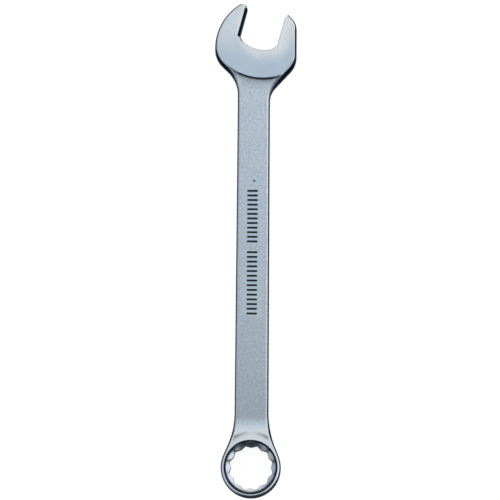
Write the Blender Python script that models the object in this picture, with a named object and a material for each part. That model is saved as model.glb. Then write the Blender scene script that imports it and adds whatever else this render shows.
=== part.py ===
"""Combination wrench for a 19 mm hexagon: open end, shank and box end.

The tool is one drop forging that lies on its back: +Y runs along the shank to the open
end, +X is to the right seen from above, and +Z is the front face. All shapes are drawn
about the middle of the box end bore, at the height of the middle of the shank, and each
object is then moved so that the origin is under the centre of the whole wrench.
"""
import math

import bmesh
import bpy
from mathutils import Matrix, Vector

MM = 0.001

# Both ends fit one hexagon; the clearance is that of a finished wrench.
NUT_ACROSS_FLATS = 19.0 * MM
FIT_CLEARANCE = 0.15 * MM
HALF_GAP = (NUT_ACROSS_FLATS + FIT_CLEARANCE) / 2

# Where the forging is divided into its three zones, measured from the bore.
BOX_SEAM_Y = 34.0 * MM
OPEN_SEAM_Y = 178.0 * MM

# Shank: a flat bar with a small bevel, a little wider toward the box end.
SHANK_HALF_THICKNESS = 3.25 * MM
SHANK_HALF_WIDTH_AT_BOX = 8.4 * MM
SHANK_HALF_WIDTH_AT_OPEN = 7.95 * MM
SHANK_EDGE_INSET = 1.1 * MM
SHANK_BEVEL = 0.75 * MM

# Every wall bulges a little between its bevel and the middle of its height.
BULGE_INSET_SHARE = 0.3
BULGE_HEIGHT_SHARE = 0.55

# Open end head: its widest line has corners (x, y, arc radius) from the left side of the
# neck, over the top of the head, to the right side of the neck.
HEAD_CORNERS = [
    (-7.95 * MM, 190.8 * MM, 15.7 * MM),
    (-19.45 * MM, 201.7 * MM, 11.5 * MM),
    (-19.45 * MM, 232.7 * MM, 25.6 * MM),
    (7.8 * MM, 232.7 * MM, 2.5 * MM),
    (20.95 * MM, 219.6 * MM, 8.1 * MM),
    (21.0 * MM, 198.6 * MM, 10.8 * MM),
    (7.95 * MM, 184.8 * MM, 9.2 * MM),
]
HEAD_HALF_THICKNESS = 4.5 * MM
HEAD_EDGE_INSET = 2.0 * MM
HEAD_BEVEL = 0.45 * MM
JAW_ANGLE = math.radians(15.0)
JAW_CENTRE = Vector((3.4, 215.3)) * MM
JAW_FLAT_DEPTH = 4.9 * MM
THROAT_CORNER = Vector((7.4, 7.2)) * MM
THROAT_DEPTH = 10.5 * MM
THROAT_RADIUS = 15.5 * MM
RELIEF_RADIUS = 0.6 * MM
RIGHT_RELIEF_RADIUS = 2.5 * MM
RIGHT_THROAT_RADIUS = 1.2 * MM
LEFT_FLAT_TOP = 9.4 * MM
LEFT_TIP_INNER = Vector((10.6, 10.5)) * MM
LEFT_TIP_OUTER = Vector((15.0, 10.6)) * MM
RIGHT_FLAT_TOP = 9.5 * MM
RIGHT_TIP_CHAMFER = 0.9 * MM
TIP_RADIUS = 0.3 * MM
FACE_ARC_LEFT_Y = 197.8 * MM
FACE_ARC_RIGHT_Y = 192.7 * MM
FACE_ARC_RADIUS = 27.9 * MM
FACE_STEP_RUN = 0.5 * MM
NECK_LIP_SHARE = 0.03

# Box end: a plain ring with its far side raised.
RING_RADIUS = 14.8 * MM
RING_THICKNESS = 10.6 * MM
RING_ROUNDING = 1.2 * MM
RING_TILT = math.radians(15.0)
LEAD_IN_RADIUS = 12.7 * MM
LEAD_IN_DEPTH = 1.8 * MM
BORE_POINTS = 12
FLARE_ANGLE = math.radians(22.5)
FLARE_BLEND_RADIUS = 45.0 * MM
FLARE_TOP = 5.2 * MM
FLARE_BOTTOM = -3.7 * MM
RAMP_START_Y = 27.0 * MM
RAMP_END_Y = 14.5 * MM
FADE_END_Y = 8.0 * MM
FADE_HALF_THICKNESS = 2.5 * MM
FLARE_END_Y = 3.0 * MM
FLARE_END_TUCK = 3.0 * MM
FLARE_END_RADIUS = 2.0 * MM
RING_CORE_RADIUS = 8.0 * MM

# The ring's lowest edge is level with the underside of the open end head.
RING_RISE = (
    (RING_RADIUS - RING_ROUNDING) * math.sin(RING_TILT)
    + (RING_THICKNESS / 2 - RING_ROUNDING) * math.cos(RING_TILT)
    + RING_ROUNDING
    - HEAD_HALF_THICKNESS
)

ARC_STEP = math.radians(7.5)
NECK_STATIONS = 10
PANEL_COLUMNS = 12
RING_SEGMENTS = 96
SHARP_ANGLE = math.radians(28.0)
CUTTER_REACH = 30.0 * MM


def clear_scene():
    for item in list(bpy.data.objects):
        bpy.data.objects.remove(item, do_unlink=True)


def steel(name, colour, roughness):
    material = bpy.data.materials.new(name)
    material.use_nodes = True
    shader = material.node_tree.nodes["Principled BSDF"]
    shader.inputs["Base Color"].default_value = (*colour, 1.0)
    shader.inputs["Metallic"].default_value = 1.0
    shader.inputs["Roughness"].default_value = roughness
    return material


def new_object(name, mesh, material=None):
    thing = bpy.data.objects.new(name, mesh)
    bpy.context.scene.collection.objects.link(thing)
    if material is not None:
        mesh.materials.append(material)
        mesh.shade_smooth()
        mesh.set_sharp_from_angle(angle=SHARP_ANGLE)
    return thing


def finish_mesh(name, shape):
    bmesh.ops.recalc_face_normals(shape, faces=shape.faces[:])
    mesh = bpy.data.meshes.new(name)
    shape.to_mesh(mesh)
    shape.free()
    return mesh


def smooth_step(value):
    value = min(max(value, 0.0), 1.0)
    return value * value * (3.0 - 2.0 * value)


def mix(start, end, share):
    return start + (end - start) * share


def rounded_path(corners):
    """An open path through corners (x, y, radius), each one rounded by its own arc."""
    points = [Vector(corners[0][:2])]
    for before, corner, after in zip(corners, corners[1:], corners[2:]):
        middle = Vector(corner[:2])
        back = (Vector(before[:2]) - middle).normalized()
        ahead = (Vector(after[:2]) - middle).normalized()
        half_angle = back.angle(ahead) / 2
        centre = middle + (back + ahead).normalized() * corner[2] / math.sin(half_angle)
        start = middle + back * corner[2] / math.tan(half_angle) - centre
        turn = math.pi - 2 * half_angle
        if back.x * ahead.y - back.y * ahead.x > 0:
            turn = -turn
        steps = max(1, math.ceil(abs(turn) / ARC_STEP))
        for step in range(steps + 1):
            points.append(centre + Matrix.Rotation(turn * step / steps, 2) @ start)
    points.append(Vector(corners[-1][:2]))
    return points


def resampled(points, count):
    """The same path with count + 1 points at equal spacing."""
    lengths = [0.0]
    for start, end in zip(points, points[1:]):
        lengths.append(lengths[-1] + (end - start).length)
    result = []
    leg = 0
    for step in range(count + 1):
        target = lengths[-1] * step / count
        while leg < len(points) - 2 and lengths[leg + 1] < target:
            leg += 1
        share = (target - lengths[leg]) / (lengths[leg + 1] - lengths[leg])
        result.append(points[leg].lerp(points[leg + 1], share))
    return result


def inward_normals(points):
    """Unit normals on the right hand side of the path."""
    normals = []
    for index in range(len(points)):
        along = points[min(index + 1, len(points) - 1)] - points[max(index - 1, 0)]
        normals.append(Vector((along.y, -along.x)).normalized())
    return normals


def jaw_point(across, toward_mouth):
    """A point given across the jaws and toward the mouth, in the wrench's plane."""
    side = Vector((math.cos(JAW_ANGLE), -math.sin(JAW_ANGLE)))
    mouth = Vector((math.sin(JAW_ANGLE), math.cos(JAW_ANGLE)))
    return JAW_CENTRE + side * across + mouth * toward_mouth


def wall_profile(half_thickness, edge_inset, bevel):
    """(inset, height) down one edge: top bevel, bulging wall, bottom bevel."""
    wall_inset = edge_inset - bevel
    wall_top = half_thickness - bevel
    upper = [(edge_inset, half_thickness), (wall_inset, wall_top)]
    upper.append((wall_inset * BULGE_INSET_SHARE, wall_top * BULGE_HEIGHT_SHARE))
    lower = [(inset, -height) for inset, height in reversed(upper)]
    return upper + [(0.0, 0.0)] + lower


def mixed_profile(start, end, share):
    return [
        (mix(a[0], b[0], share), mix(a[1], b[1], share)) for a, b in zip(start, end)
    ]


def head_outline():
    """The widest line of head and neck, from the left of the seam round to its right."""
    start = (-SHANK_HALF_WIDTH_AT_OPEN, OPEN_SEAM_Y, 0.0)
    end = (SHANK_HALF_WIDTH_AT_OPEN, OPEN_SEAM_Y, 0.0)
    return rounded_path([start, *HEAD_CORNERS, end])


def split_outline(points):
    """Left neck, head and right neck parts of the outline, cut where the face ends."""
    first = next(i for i, point in enumerate(points) if point.y > FACE_ARC_LEFT_Y)
    last = max(i for i, point in enumerate(points) if point.y > FACE_ARC_RIGHT_Y)
    start, end = points[first - 1], points[first]
    left_end = start.lerp(end, (FACE_ARC_LEFT_Y - start.y) / (end.y - start.y))
    start, end = points[last], points[last + 1]
    right_end = start.lerp(end, (FACE_ARC_RIGHT_Y - start.y) / (end.y - start.y))
    left = points[:first] + [left_end]
    right = [right_end] + points[last + 1:]
    return left, [left_end] + points[first:last + 1] + [right_end], right


def arc_between(start, end, radius, count):
    """Points on the arc from start to end that bulges to the right of that direction."""
    chord = end - start
    aside = Vector((-chord.y, chord.x)).normalized()
    half_sweep = math.asin(chord.length / 2 / radius)
    centre = (start + end) / 2 + aside * radius * math.cos(half_sweep)
    arm = start - centre
    return [
        centre + Matrix.Rotation(2 * half_sweep * step / count, 2) @ arm
        for step in range(count + 1)
    ]


def panel_row(left_end, right_end, arc, share):
    """A row of the lowered neck panel; share runs from 0 at the face to 1 at the seam."""
    row = []
    for index in range(PANEL_COLUMNS + 1):
        across = mix(NECK_LIP_SHARE, 1 - NECK_LIP_SHARE, index / PANEL_COLUMNS)
        position = across * PANEL_COLUMNS
        leg = min(int(position), PANEL_COLUMNS - 1)
        on_arc = arc[leg].lerp(arc[leg + 1], position - leg)
        bow = on_arc - arc[0].lerp(arc[-1], across)
        place = left_end.lerp(right_end, across) + bow * (1 - share) ** 2
        place.y -= FACE_STEP_RUN * (1 - share) * 4 * across * (1 - across)
        row.append(place)
    return row


def open_end_body():
    """Head and neck without the mouth, as one closed mesh."""
    left, head, right = split_outline(head_outline())
    left = list(reversed(resampled(left, NECK_STATIONS)))
    right = resampled(right, NECK_STATIONS)
    left_normals = [-normal for normal in inward_normals(left)]
    right_normals = inward_normals(right)
    head_normals = inward_normals(head)
    head_normals[0] = left_normals[0]
    head_normals[-1] = right_normals[0]
    head_profile = wall_profile(HEAD_HALF_THICKNESS, HEAD_EDGE_INSET, HEAD_BEVEL)
    shank_profile = wall_profile(SHANK_HALF_THICKNESS, SHANK_EDGE_INSET, SHANK_BEVEL)

    shape = bmesh.new()

    def column(point, normal, profile):
        verts = []
        for inset, height in profile:
            place = point + normal * inset
            verts.append(shape.verts.new((place.x, place.y, height)))
        return verts

    head_columns = [column(p, n, head_profile) for p, n in zip(head, head_normals)]
    left_columns = [head_columns[0]]
    right_columns = [head_columns[-1]]
    for station in range(1, NECK_STATIONS + 1):
        share = smooth_step(station / NECK_STATIONS)
        profile = mixed_profile(head_profile, shank_profile, share)
        left_columns.append(column(left[station], left_normals[station], profile))
        right_columns.append(column(right[station], right_normals[station], profile))
    walls = list(reversed(left_columns)) + head_columns[1:-1] + right_columns
    for one, two in zip(walls, walls[1:]):
        for row in range(len(head_profile) - 1):
            shape.faces.new((one[row], two[row], two[row + 1], one[row + 1]))

    left_edge = left[0] + left_normals[0] * HEAD_EDGE_INSET
    right_edge = right[0] + right_normals[0] * HEAD_EDGE_INSET
    arc = arc_between(left_edge, right_edge, FACE_ARC_RADIUS, PANEL_COLUMNS)
    last_rows = []
    for side in (1, -1):
        rim_row = 0 if side > 0 else -1
        arc_verts = [head_columns[0][rim_row]]
        for point in arc[1:-1]:
            arc_verts.append(shape.verts.new((point.x, point.y, side * HEAD_HALF_THICKNESS)))
        arc_verts.append(head_columns[-1][rim_row])
        rim = [verts[rim_row] for verts in head_columns]
        shape.faces.new(rim + arc_verts[-2:0:-1])

        previous = None
        for station in range(NECK_STATIONS + 1):
            left_rim = left_columns[station][rim_row]
            right_rim = right_columns[station][rim_row]
            row = panel_row(left_rim.co.xy, right_rim.co.xy, arc, station / NECK_STATIONS)
            height = side * SHANK_HALF_THICKNESS
            verts = [shape.verts.new((point.x, point.y, height)) for point in row]
            if previous is None:
                for one, two, below, under in zip(arc_verts, arc_verts[1:], verts[1:], verts):
                    shape.faces.new((one, two, below, under))
            verts = [left_rim] + verts + [right_rim]
            if previous is not None:
                for index in range(len(verts) - 1):
                    shape.faces.new((
                        previous[index], previous[index + 1], verts[index + 1], verts[index]
                    ))
            previous = verts
        last_rows.append(previous[1:-1])
    section = left_columns[-1] + last_rows[1] + right_columns[-1][::-1] + last_rows[0][::-1]
    shape.faces.new(section)
    return finish_mesh("open_end", shape)


def prism(name, outline, low, high):
    shape = bmesh.new()
    base = shape.faces.new([shape.verts.new((x, y, low)) for x, y in outline])
    lifted = bmesh.ops.extrude_face_region(shape, geom=[base])["geom"]
    verts = [item for item in lifted if isinstance(item, bmesh.types.BMVert)]
    bmesh.ops.translate(shape, verts=verts, vec=(0.0, 0.0, high - low))
    return finish_mesh(name, shape)


def mouth_outline():
    """Blunt left tip, two parallel flats, a relief at each corner and a curved throat."""
    corners = [
        (-LEFT_TIP_OUTER.x, CUTTER_REACH, 0.0),
        (-LEFT_TIP_OUTER.x, LEFT_TIP_OUTER.y, TIP_RADIUS),
        (-LEFT_TIP_INNER.x, LEFT_TIP_INNER.y, TIP_RADIUS),
        (-HALF_GAP, LEFT_FLAT_TOP, TIP_RADIUS),
        (-HALF_GAP, -JAW_FLAT_DEPTH, RELIEF_RADIUS),
        (-THROAT_CORNER.x, -THROAT_CORNER.y, RELIEF_RADIUS),
        (0.0, -THROAT_DEPTH, THROAT_RADIUS),
        (THROAT_CORNER.x, -THROAT_CORNER.y, RIGHT_THROAT_RADIUS),
        (HALF_GAP, -JAW_FLAT_DEPTH, RIGHT_RELIEF_RADIUS),
        (HALF_GAP, RIGHT_FLAT_TOP, TIP_RADIUS),
        (HALF_GAP + RIGHT_TIP_CHAMFER, RIGHT_FLAT_TOP + RIGHT_TIP_CHAMFER, TIP_RADIUS),
        (HALF_GAP + RIGHT_TIP_CHAMFER, CUTTER_REACH, 0.0),
    ]
    return [jaw_point(*point) for point in rounded_path(corners)]


def as_cutter(thing):
    thing.hide_render = True
    thing.display_type = "WIRE"
    return thing


def boolean(thing, other, operation):
    modifier = thing.modifiers.new(other.name, "BOOLEAN")
    modifier.operation = operation
    modifier.solver = "EXACT"
    modifier.object = other


def make_open_end(material):
    head = new_object("open_end", open_end_body(), material)
    height = CUTTER_REACH / 2
    mouth = as_cutter(new_object("mouth", prism("mouth", mouth_outline(), -height, height)))
    boolean(head, mouth, "DIFFERENCE")
    return [head, mouth]


def bar_mesh(name, stations):
    """A bar through stations (y, half width, profile, middle height)."""
    shape = bmesh.new()
    loops = []
    for y, half_width, profile, middle in stations:
        left = [shape.verts.new((inset - half_width, y, middle + z)) for inset, z in profile]
        right = [shape.verts.new((half_width - inset, y, middle + z)) for inset, z in profile]
        loops.append(left + list(reversed(right)))
    for one, two in zip(loops, loops[1:]):
        for index in range(len(one)):
            after = (index + 1) % len(one)
            shape.faces.new((one[index], one[after], two[after], two[index]))
    shape.faces.new(loops[0])
    shape.faces.new(loops[-1])
    return finish_mesh(name, shape)


def make_shank(material):
    profile = wall_profile(SHANK_HALF_THICKNESS, SHANK_EDGE_INSET, SHANK_BEVEL)
    stations = [
        (BOX_SEAM_Y, SHANK_HALF_WIDTH_AT_BOX, profile, 0.0),
        (OPEN_SEAM_Y, SHANK_HALF_WIDTH_AT_OPEN, profile, 0.0),
    ]
    return [new_object("shank", bar_mesh("shank", stations), material)]


def flare_path():
    """Half width of the flare: shank edge, blend, then a line tangent to the ring."""
    touch = Vector((math.cos(FLARE_ANGLE), math.sin(FLARE_ANGLE))) * RING_RADIUS
    width = SHANK_HALF_WIDTH_AT_BOX
    meet_y = touch.y + (touch.x - width) / math.tan(FLARE_ANGLE)
    return rounded_path([
        (width, BOX_SEAM_Y, 0.0),
        (width, meet_y, FLARE_BLEND_RADIUS),
        (*touch, FLARE_END_RADIUS),
        (touch.x - FLARE_END_TUCK, FLARE_END_Y, 0.0),
    ])


def flare_mesh():
    stations = []
    for point in flare_path():
        climb = smooth_step((RAMP_START_Y - point.y) / (RAMP_START_Y - RAMP_END_Y))
        top = mix(SHANK_HALF_THICKNESS, FLARE_TOP, climb)
        bottom = mix(-SHANK_HALF_THICKNESS, FLARE_BOTTOM, climb)
        fade = smooth_step((RAMP_END_Y - point.y) / (RAMP_END_Y - FADE_END_Y))
        ring_middle = RING_RISE - point.y * math.tan(RING_TILT)
        top = mix(top, ring_middle + FADE_HALF_THICKNESS, fade)
        bottom = mix(bottom, ring_middle - FADE_HALF_THICKNESS, fade)
        profile = wall_profile((top - bottom) / 2, SHANK_EDGE_INSET, SHANK_BEVEL)
        stations.append((point.y, point.x, profile, (top + bottom) / 2))
    return bar_mesh("box_end", stations)


def turned_mesh(name, profile, segments):
    """A closed (radius, height) profile that stays off the axis, turned about Z."""
    shape = bmesh.new()
    verts = [shape.verts.new((radius, 0.0, height)) for radius, height in profile]
    edges = [shape.edges.new(pair) for pair in zip(verts, verts[1:] + verts[:1])]
    bmesh.ops.spin(
        shape, geom=verts + edges, cent=(0, 0, 0), axis=(0, 0, 1),
        angle=math.tau, steps=segments, use_merge=True,
    )
    return finish_mesh(name, shape)


def ring_profile():
    """Half section of the ring: rounded outside, flat faces and the two lead-ins."""
    half = RING_THICKNESS / 2
    middle = RING_RADIUS - RING_ROUNDING
    slope = LEAD_IN_DEPTH / (LEAD_IN_RADIUS - HALF_GAP)
    lead_in_end = half - (LEAD_IN_RADIUS - RING_CORE_RADIUS) * slope
    steps = math.ceil(math.pi / 2 / ARC_STEP / 2)
    lower = [(RING_CORE_RADIUS, -lead_in_end), (LEAD_IN_RADIUS, -half)]
    for step in range(steps + 1):
        angle = -math.pi / 2 + math.pi / 2 * step / steps
        radius = middle + RING_ROUNDING * math.cos(angle)
        lower.append((radius, RING_ROUNDING * math.sin(angle) - half + RING_ROUNDING))
    return lower + [(radius, -height) for radius, height in reversed(lower)]


def bore_outline():
    """Two hexagons turned by half a flat: the corners lie between the star's points."""
    corner_radius = HALF_GAP / math.cos(math.pi / BORE_POINTS)
    point_radius = HALF_GAP / math.cos(math.pi * 2 / BORE_POINTS)
    outline = []
    for index in range(2 * BORE_POINTS):
        radius = point_radius if index % 2 else corner_radius
        angle = math.pi * index / BORE_POINTS
        outline.append(Vector((math.cos(angle), math.sin(angle))) * radius)
    return outline


def tilted(thing):
    thing.location = (0.0, 0.0, RING_RISE)
    thing.rotation_euler = (-RING_TILT, 0.0, 0.0)
    return thing


def make_box_end(material):
    box = new_object("box_end", flare_mesh(), material)
    ring_mesh = turned_mesh("ring", ring_profile(), RING_SEGMENTS)
    ring = as_cutter(tilted(new_object("ring", ring_mesh)))
    bore_mesh = prism("bore", bore_outline(), -RING_THICKNESS, RING_THICKNESS)
    bore = as_cutter(tilted(new_object("bore", bore_mesh)))
    boolean(box, ring, "UNION")
    boolean(box, bore, "DIFFERENCE")
    return [box, ring, bore]


def place_on_origin(things):
    """Move everything together until the origin is under the middle of the wrench."""
    bpy.context.view_layer.update()
    graph = bpy.context.evaluated_depsgraph_get()
    corners = []
    for thing in things:
        if not thing.hide_render:
            shape = thing.evaluated_get(graph)
            corners += [shape.matrix_world @ Vector(corner) for corner in shape.bound_box]
    low = [min(corner[axis] for corner in corners) for axis in range(3)]
    high = [max(corner[axis] for corner in corners) for axis in range(3)]
    shift = Vector(((low[0] + high[0]) / -2, (low[1] + high[1]) / -2, -low[2]))
    for thing in things:
        thing.location += shift


def main():
    clear_scene()
    polished = steel("polished_steel", (0.62, 0.66, 0.70), 0.18)
    satin = steel("satin_steel", (0.50, 0.55, 0.60), 0.38)
    things = make_open_end(polished)
    things += make_shank(satin)
    things += make_box_end(polished.copy())
    place_on_origin(things)


main()
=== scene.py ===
import math

import bmesh
import bpy
from mathutils import Matrix, Vector


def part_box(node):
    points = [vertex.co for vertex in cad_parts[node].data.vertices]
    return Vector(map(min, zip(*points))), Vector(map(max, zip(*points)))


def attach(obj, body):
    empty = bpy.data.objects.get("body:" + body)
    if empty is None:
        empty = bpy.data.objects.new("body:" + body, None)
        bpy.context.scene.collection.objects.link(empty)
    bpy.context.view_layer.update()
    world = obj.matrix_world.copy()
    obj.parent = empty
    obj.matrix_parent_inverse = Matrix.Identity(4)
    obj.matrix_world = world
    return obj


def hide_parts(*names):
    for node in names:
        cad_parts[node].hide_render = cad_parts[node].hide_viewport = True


MM = 0.001

# Driving dimensions of the forging, in millimetres from the middle of the ring.
# An edge is (inset of the face edge, radius and turn of its rounding), a corner is
# (x, y, radius), and a step of the lead-in is (radius, slope in degrees).
HALF_GAP = 9.575
BOX_SEAM_Y = 34.0
OPEN_SEAM_Y = 178.0
SHANK_HALF_THICKNESS = 3.25
SHANK_HALF_WIDTH_AT_BOX = 8.4
SHANK_HALF_WIDTH_AT_OPEN = 7.95
SHANK_EDGE = (1.5, 1.3, math.radians(55.0))
HEAD_HALF_THICKNESS = 4.499
HEAD_SIDE_EDGE = (1.4, 1.05, math.radians(66.0))
HEAD_FLARE_EDGE = (2.15, 0.9, math.radians(54.0))
WALL_CHANGE_FROM = -0.3
WALL_CHANGE_SPAN = 0.9
HEAD_CORNERS = [
    (-7.95, 190.8, 15.7),
    (-19.44, 201.7, 11.5),
    (-19.44, 232.7, 25.6),
    (7.8, 232.7, 2.5),
    (20.95, 219.6, 8.1),
    (21.0, 198.6, 10.8),
    (7.95, 184.8, 9.2),
]
JAW_ANGLE = math.radians(15.0)
JAW_CENTRE = Vector((3.4, 215.3))
JAW_FLAT_DEPTH = 4.9
THROAT_CORNER = Vector((7.4, 7.2))
THROAT_DEPTH = 10.5
THROAT_RADIUS = 15.5
LEFT_FLAT_TOP = 9.4
LEFT_TIP_INNER = Vector((10.6, 10.5))
LEFT_TIP_OUTER = Vector((15.0, 10.58))
RIGHT_FLAT_TOP = 9.5
RIGHT_TIP_CHAMFER = 0.9
RIGHT_TIP_RADIUS = 0.7
RIGHT_RELIEF_RADIUS = 2.5
RIGHT_THROAT_RADIUS = 1.2
LEFT_RELIEF_RADIUS = 0.6
LEFT_TIP_RADIUS = 0.9
LEFT_TIP_OUTER_RADIUS = 0.3
MOUTH_EDGE_RADIUS = 0.3
MOUTH_EDGE_TURN = math.radians(68.0)
LEFT_BEVEL_WIDTH = 1.2
LEFT_BEVEL_DEPTH = 2.4
LEFT_BEVEL_FADE = 4
CUTTER_REACH = 30.0
FACE_ARC_LEFT_Y = 197.8
FACE_ARC_RIGHT_Y = 192.7
FACE_ARC_RADIUS = 27.9
STEP_RUN = 1.0
STEP_POWER = 1.6
STEP_FADE_RUN = 4.5
STEP_FADE_POWER = 3
STEP_FADE_SHARE = 0.24
# Painted shade on the run below the face step, darkest at the step
STEP_SHADE = 0.4
STEP_SHADE_RUN = 8.0
STEP_SHADE_POWER = 2
LIP_RUN = 2.0
LIP_POWER = 4
NECK_SETTLED = 0.65
NECK_SATIN_RATE = 2
RING_RADIUS = 14.8
RING_HALF_THICKNESS = 5.3
RING_TILT = math.radians(15.0)
RING_EDGE = (1.45, 1.3, math.radians(70.0))
CAD_RING_ROUNDING = 1.2
LEAD_IN_RADIUS = 13.3
LEAD_IN_CURVE = [(13.15, 42.0), (12.95, 60.0), (12.6, 66.0), (12.35, 54.0), (12.1, 42.0),
                 (11.8, 31.0), (11.4, 25.0)]
LEAD_IN_SLOPE = 22.0
BORE_POINTS = 12
STAR_INNER = HALF_GAP / math.cos(math.pi / BORE_POINTS)
STAR_DEPTH = HALF_GAP / math.cos(math.tau / BORE_POINTS) - STAR_INNER
FLARE_ANGLE = math.radians(22.5)
FLARE_BLEND_RADIUS = 45.0
BEND_LENGTH = 9.0
CREST_RADIUS = 13.4
CREST_CURVE = 9.0
RAMP_TOP = 4.66
RAMP_BOTTOM = 4.2
RAMP_START = 25.5
RAMP_END = 13.0
CLEAR_OF_FLOOR = 0.02
FLARE_SETTLED = 0.6
ROUND_UP_TO_V = 12.0
CREASE_BLEND = 0.35
# Reach and strength of the painted shade along the crease between ramp and ring, stronger toward
# the sides
CREASE_REACH = 0.7
CREASE_SHADE = 1.7
# Painted shade in the bore's notches, stronger on the side toward the shank
NOTCH_SHADE = 0.9
NOTCH_SHADE_POWER = 2
NOTCH_SHADE_RADIUS = 12.6
NOTCH_FAR_SHARE = 0.2
NOTCH_FADE_FROM = -0.5
NOTCH_FADE_SPAN = 0.9
SATIN_START = 27.0
SATIN_END = 17.0
RING_RISE = (
    (RING_RADIUS - CAD_RING_ROUNDING) * math.sin(RING_TILT)
    + (RING_HALF_THICKNESS - CAD_RING_ROUNDING) * math.cos(RING_TILT)
    + CAD_RING_ROUNDING
    - HEAD_HALF_THICKNESS
)

# Stamped ticks on the shank: rows of (first y, count, pitch), and a dot of (x, y, length)
MARK_ROWS = [(136.7, 12, 2.27), (106.4, 14, 2.33)]
MARK_MIDDLE_X = -0.2
MARK_LENGTH = 5.4
MARK_DOT = (0.6, 141.7, 1.12)
MARK_RADIUS = 0.55
MARK_DEPTH = 0.40
# Painted shade in the ticks is full at this depth
MARK_SHADE_DEPTH = 0.18
MARK_CENTRE_HEIGHT = SHANK_HALF_THICKNESS - MARK_DEPTH + MARK_RADIUS

# Mesh resolution
ARC_STEP = math.radians(3.0)
EDGE_STEPS = 7
WALL_STEPS = 7
RIM_STEPS = 4
RIM_OVERSHOOT = 0.06
NECK_STATIONS = 30
NECK_SPACING = 1.5
PANEL_COLUMNS = 28
SHANK_STATIONS = 48
STAR_STEPS = 4
MARK_SIDES = 14
MARK_END_STEPS = 4
FLARE_STATIONS = 44
FLARE_SPACING = 1.15
BEND_STEPS = 80
LARGE_FACE_CORNERS = 12
SHARP_ANGLE = math.radians(28.0)

# Steel finish; sizes in millimetres
CLOUD_SIZE = 9.0
CLOUD_DETAIL = 2.0
CLOUD_RANGE = (0.3, 0.7)
MOTTLE_SIZE = 1.1
MOTTLE_DETAIL = 3.0
GRIT_SIZE = 0.35
GRIT_DETAIL = 2.0
SCRATCH_STRETCH = 0.12
SCRATCH_DETAIL = 3.0
SCRATCH_SHARE = 0.4
COOL_CHROME = (0.585, 0.640, 0.695)
WARM_CHROME = (0.625, 0.665, 0.705)
MOTTLE_CONTRAST = 0.70
MOTTLE_CONTRAST_POLISHED = 0.10
POLISH_ROUGHNESS = 0.17
SATIN_ROUGHNESS = 0.31
CLOUD_ROUGHNESS = 0.10
MOTTLE_ROUGHNESS = 0.08
WEAR_ROUGHNESS = -0.05
# Painted shade makes the surface rougher as well as darker
PAINTED_SHADE_ROUGHNESS = 0.25
# Worn spots and rounded edges are painted this much brighter: partly worn metal, partly a painted
# highlight
WEAR_AND_SHEEN_BRIGHTENING = 0.06
CREST_WEAR = 0.8
STAR_WEAR = 0.7
MOUTH_WEAR = 0.6
GRAIN_HEIGHT = 0.004
# How much the painted shade darkens the steel
PAINTED_SHADE_DARKENING = 0.93
# Painted highlight on the head's face: lighter and whiter near the mouth and toward the top of the
# head, darker elsewhere
HIGHLIGHT_CENTRE = (5.5, 217.0)
HIGHLIGHT_RADII = (11.0, 19.0)
HIGHLIGHT_FROM_Y = (201.0, 214.0)
HIGHLIGHT_UPPER_SHARE = 0.55
HIGHLIGHT_TINT = (1.23, 1.15, 1.07)
AWAY_FROM_HIGHLIGHT_TINT = (0.84, 0.87, 0.90)

# Floor: pale paper that also glows a little, so that it stays even
FLOOR_HALF_SIZE = 6.0
FLOOR_COLOUR = (0.36, 0.36, 0.36, 1.0)
FLOOR_ROUGHNESS = 0.9
FLOOR_GLOW = 0.78

# Studio light, by the x, y and z of the direction that it comes from. A pair
# says where a light starts and where it is full.
OVERHEAD_BY_Y = [
    (-1.0, (0.01, 0.02, 0.03)),
    (-0.50, (0.01, 0.02, 0.03)),
    (-0.30, (0.05, 0.06, 0.08)),
    (-0.19, (0.42, 0.45, 0.47)),
    (-0.12, (0.86, 0.92, 0.95)),
    (-0.05, (0.65, 0.75, 0.82)),
    (0.05, (0.60, 0.70, 0.79)),
    (0.13, (0.70, 0.80, 0.90)),
    (0.17, (0.88, 0.93, 0.98)),
    (0.40, (1.05, 1.07, 1.10)),
    (1.0, (1.0, 1.0, 1.0)),
]
SIDE_FROM_X = (0.25, 0.60)
SIDE_PAST_RING = (-0.75, -0.40)
SIDE_PAST_RING_LEAN = -0.5
SIDE_CHANGE_X = (-0.1, 0.1)
LEFT_LIGHT = (0.50, 0.55, 0.61)
RIGHT_LIGHT = (1.12, 1.17, 1.24)
LOW_BEHIND_Z = (0.60, 0.45)
LOW_BEHIND_Y = (-0.35, -0.60)
LOW_BEHIND_X = (0.35, 0.55)
LOW_BEHIND_MIDDLE = 0.4
LOW_BEHIND_LIGHT = (0.22, 0.26, 0.30)
LOWER_BY_Z = [
    (-1.0, (0.008, 0.012, 0.02)),
    (-0.96, (0.03, 0.05, 0.07)),
    (-0.88, (0.06, 0.10, 0.14)),
    (-0.75, (0.02, 0.04, 0.06)),
    (-0.60, (0.002, 0.004, 0.010)),
    (0.2, (0.002, 0.004, 0.010)),
]
LEVEL_SIDE_X = (0.80, 0.95)
LEVEL_SIDE_Z = (-0.22, -0.08)
LEVEL_SIDE_LIGHT = (0.13, 0.15, 0.18)
UPPER_FROM_Z = (0.10, 0.42)
EVEN_LIGHT = (1.1, 1.1, 1.1)

# Camera, placed from the middle of the ring
CAMERA_PLACE = (21.99, 109.742, 595.626)
CAMERA_TURNS = (("Y", 2.248), ("X", -0.218), ("Z", 0.438))
CAMERA_LENS = 86.4
CAMERA_SENSOR = 36.0
CAMERA_CLIP = (0.05, 20.0)


def smooth_step(value):
    value = min(max(value, 0.0), 1.0)
    return value * value * (3.0 - 2.0 * value)


def soft_step(value):
    value = min(max(value, 0.0), 1.0)
    return value ** 3 * (10.0 - 15.0 * value + 6.0 * value * value)


def mix(start, end, share):
    return start + (end - start) * share


def right_of(direction):
    return Vector((direction.y, -direction.x))


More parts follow.
